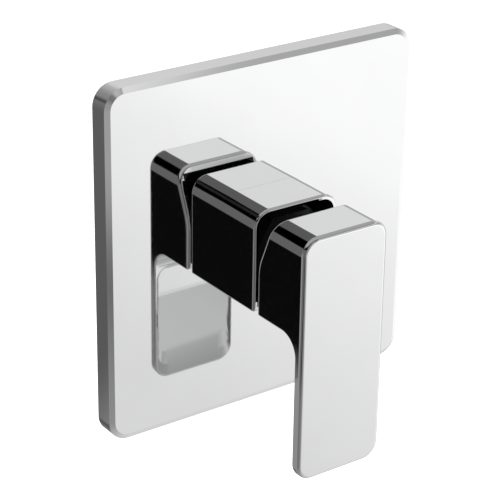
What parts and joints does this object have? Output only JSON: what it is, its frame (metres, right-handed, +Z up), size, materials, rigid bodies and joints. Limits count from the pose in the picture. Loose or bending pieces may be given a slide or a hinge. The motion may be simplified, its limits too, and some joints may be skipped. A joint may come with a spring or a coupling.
{
  "type": "concealed shower mixer",
  "caption": "Concealed lever shower mixer: bevelled trim plate, rounded rectangular handle sleeve and paddle lever over a brass wall body with pipe ports.",
  "frame": {"origin": "on the cartridge axis, in the plane where the wall body is fixed", "axes": "+X right, +Z up, -Y out of the wall towards the user, so the plate and lever face -Y"},
  "size_m": [0.167, 0.1182, 0.1804],
  "materials": {
    "polished_chrome": "mirror",
    "bare_brass": "machined",
    "dark_brass": "blackened",
    "screw_steel": "plain",
    "black_rubber": "matte",
    "dark_plastic": "moulded",
    "pale_plastic": "moulded",
    "white_ceramic": "lapped",
    "cap_plastic": "plain"
  },
  "bodies": {
    "wall_unit": {"trim_plate": "polished_chrome", "plate_gasket": "black_rubber", "plate_carrier": "dark_plastic", "carrier_screws": "screw_steel", "handle_sleeve": "polished_chrome", "sleeve_screws": "screw_steel", "valve_body": "bare_brass", "outlet_plug": "bare_brass", "plug_washer": "black_rubber", "cartridge_nut": "dark_brass", "cartridge_housing": "dark_plastic", "cartridge_base": "pale_plastic", "base_seals": "black_rubber", "fixed_disc": "white_ceramic"},
    "guide": {"stem_guide": "dark_plastic", "stem_pin": "screw_steel"},
    "mixing_disc": {"moving_disc": "white_ceramic", "disc_carrier": "pale_plastic"},
    "lever_unit": {"lever_stem": "bare_brass", "lever": "polished_chrome", "lever_insert": "dark_plastic", "grub_screw": "screw_steel", "screw_cap": "cap_plastic"}
  },
  "joints": [
    {"name": "temperature_turn", "type": "hinge", "parent": "wall_unit", "child": "guide", "pos_m": [0, -0.071, 0], "axis": [0, 1, 0], "range_deg": [-45, 45]},
    {"name": "flow_lift", "type": "hinge", "parent": "guide", "child": "lever_unit", "pos_m": [0, -0.071, 0], "axis": [-1, 0, 0], "range_deg": [0, 25]},
    {"name": "disc_slide", "type": "slide", "parent": "guide", "child": "mixing_disc", "axis": [0, 0, -1], "range_m": [0, 0.0045]}
  ],
  "couplings": [
    {"joint": "disc_slide", "follows": "flow_lift", "m_per_rad": 0.010267}
  ]
}
